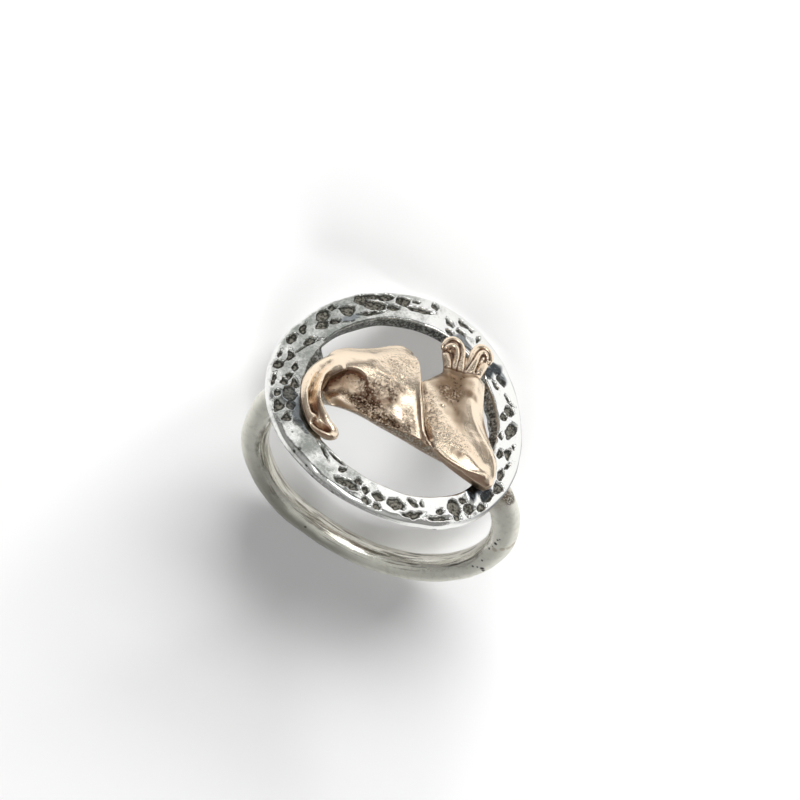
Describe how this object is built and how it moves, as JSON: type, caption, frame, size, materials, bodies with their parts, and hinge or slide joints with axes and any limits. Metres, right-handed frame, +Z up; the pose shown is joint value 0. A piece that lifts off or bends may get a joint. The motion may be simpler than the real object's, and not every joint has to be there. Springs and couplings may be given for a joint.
{
  "type": "silver ring",
  "caption": "Finger ring of round silver wire with an open pitted disc on top and a rose-coloured horned animal laid across the opening, lying on its side.",
  "frame": {"origin": "middle of the base of the bounding box, with the ring lying on its side as it rests on a table", "axes": "+Z up from the table; the disc's face looks towards -Y and up; +X runs along the hoop's width, against the disc's long way from tail to snout; the hoop reaches back towards +Y"},
  "size_m": [0.0237, 0.0236, 0.0188],
  "materials": {
    "silver": "polished silver, oxidised dark in the pits, satin on the outside of the wire",
    "rose_metal": "polished rose-gold-coloured metal, matt and brown in the hollows"
  },
  "bodies": {
    "root": {"band_and_disc": "silver", "horned_figure": "rose_metal"}
  },
  "joints": []
}
